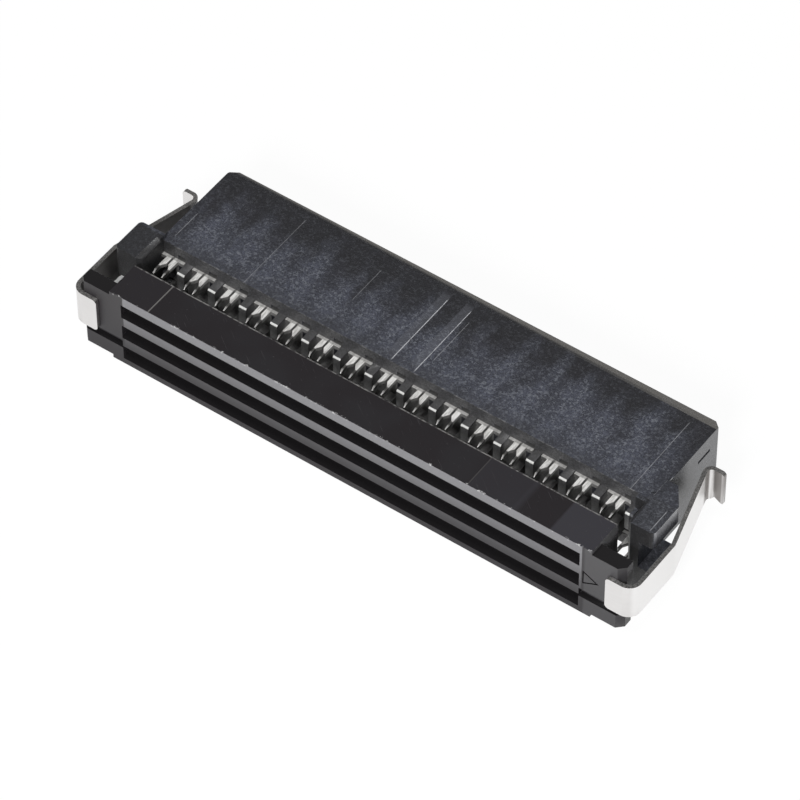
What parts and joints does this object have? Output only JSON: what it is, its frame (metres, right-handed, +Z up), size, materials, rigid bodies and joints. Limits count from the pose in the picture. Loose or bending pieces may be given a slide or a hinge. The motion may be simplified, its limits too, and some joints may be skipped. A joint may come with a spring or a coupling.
{
  "type": "ribbon cable socket",
  "caption": "Ribbon cable socket with a pin-hole housing, rows of forked wire-piercing contacts, a ribbed press-on cover standing open, and a bent spring clip at each end.",
  "frame": {"origin": "middle of the footprint, on the surface the socket lies on", "axes": "+X along the contact rows, +Y out of the mating face, +Z up from the long side it lies on"},
  "size_m": [0.0446, 0.0144, 0.0064],
  "materials": {
    "housing_plastic": "dull moulded, finely mottled",
    "cover_plastic": "smooth moulded",
    "clip_steel": "bright rolled spring strip",
    "contact_tin": "bright tin plate"
  },
  "bodies": {
    "housing": {"housing": "housing_plastic", "upper_contact_1": "contact_tin", "upper_contact_2": "contact_tin", "upper_contact_3": "contact_tin", "upper_contact_4": "contact_tin", "upper_contact_5": "contact_tin", "upper_contact_6": "contact_tin", "upper_contact_7": "contact_tin", "upper_contact_8": "contact_tin", "upper_contact_9": "contact_tin", "upper_contact_10": "contact_tin", "upper_contact_11": "contact_tin", "upper_contact_12": "contact_tin", "upper_contact_13": "contact_tin", "upper_contact_14": "contact_tin", "upper_contact_15": "contact_tin", "lower_contact_1": "contact_tin", "lower_contact_2": "contact_tin", "lower_contact_3": "contact_tin", "lower_contact_4": "contact_tin", "lower_contact_5": "contact_tin", "lower_contact_6": "contact_tin", "lower_contact_7": "contact_tin", "lower_contact_8": "contact_tin", "lower_contact_9": "contact_tin", "lower_contact_10": "contact_tin", "lower_contact_11": "contact_tin", "lower_contact_12": "contact_tin", "lower_contact_13": "contact_tin", "lower_contact_14": "contact_tin", "lower_contact_15": "contact_tin"},
    "cover": {"cover": "cover_plastic"},
    "left_clip": {"left_clip": "clip_steel"},
    "right_clip": {"right_clip": "clip_steel"}
  },
  "joints": [
    {"name": "cover_press", "type": "slide", "parent": "housing", "child": "cover", "axis": [0, 1, 0], "range_m": [0, 0.0018]},
    {"name": "left_clip_flex", "type": "hinge", "parent": "cover", "child": "left_clip", "pos_m": [-0.02015, -0.00689, 0.00322], "axis": [0, 0, 1], "range_deg": [0, 8], "stiffness_Nm_per_rad": 0.05},
    {"name": "right_clip_flex", "type": "hinge", "parent": "cover", "child": "right_clip", "pos_m": [0.02015, -0.00689, 0.00322], "axis": [0, 0, -1], "range_deg": [0, 8], "stiffness_Nm_per_rad": 0.05}
  ]
}
